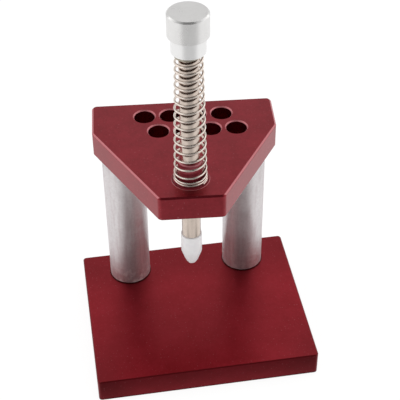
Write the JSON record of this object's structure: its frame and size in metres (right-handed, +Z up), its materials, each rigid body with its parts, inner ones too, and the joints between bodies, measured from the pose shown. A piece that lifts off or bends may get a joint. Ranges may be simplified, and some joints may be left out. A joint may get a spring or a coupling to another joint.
{
  "type": "watch hand press",
  "caption": "Bench press for fitting watch hands: sprung plunger with a soft tip over a base plate, on pillars, with tip holes in its top plate.",
  "frame": {"origin": "centre of the base plate's underside, in the plane that it stands on", "axes": "+Z up along the plunger and the pillars, +Y to the back where the pillars stand, +X to the right"},
  "size_m": [0.0624, 0.0532, 0.1116],
  "materials": {
    "red_anodised": "satin red anodising, edges lightly broken",
    "turned_aluminium": "fine-turned, uncoated",
    "polished_steel": "ground and polished bright steel",
    "spring_steel": "bright spring wire",
    "dark_steel": "blackened steel",
    "nylon": "natural white nylon, slightly translucent"
  },
  "bodies": {
    "frame": {"base_plate": "red_anodised", "pillar_left": "turned_aluminium", "pillar_right": "turned_aluminium", "base_screw_left": "dark_steel", "base_screw_right": "dark_steel", "top_stud_left": "dark_steel", "top_stud_right": "dark_steel", "top_plate": "red_anodised", "guide_bush": "red_anodised"},
    "spring": {"return_spring": "spring_steel"},
    "plunger": {"plunger_rod": "polished_steel", "retaining_ring": "dark_steel", "plunger_knob": "turned_aluminium", "press_tip": "nylon"}
  },
  "joints": [
    {"name": "plunger_press", "type": "slide", "parent": "frame", "child": "spring", "axis": [0, 0, -1], "range_m": [0, 0.0254], "stiffness_N_per_m": 160, "springref_m": -0.006, "deforming": ["return_spring"]},
    {"name": "plunger_turn", "type": "hinge", "parent": "spring", "child": "plunger", "pos_m": [-0.00203, -0.00837, 0.08], "axis": [0, 0, 1], "continuous": true}
  ]
}
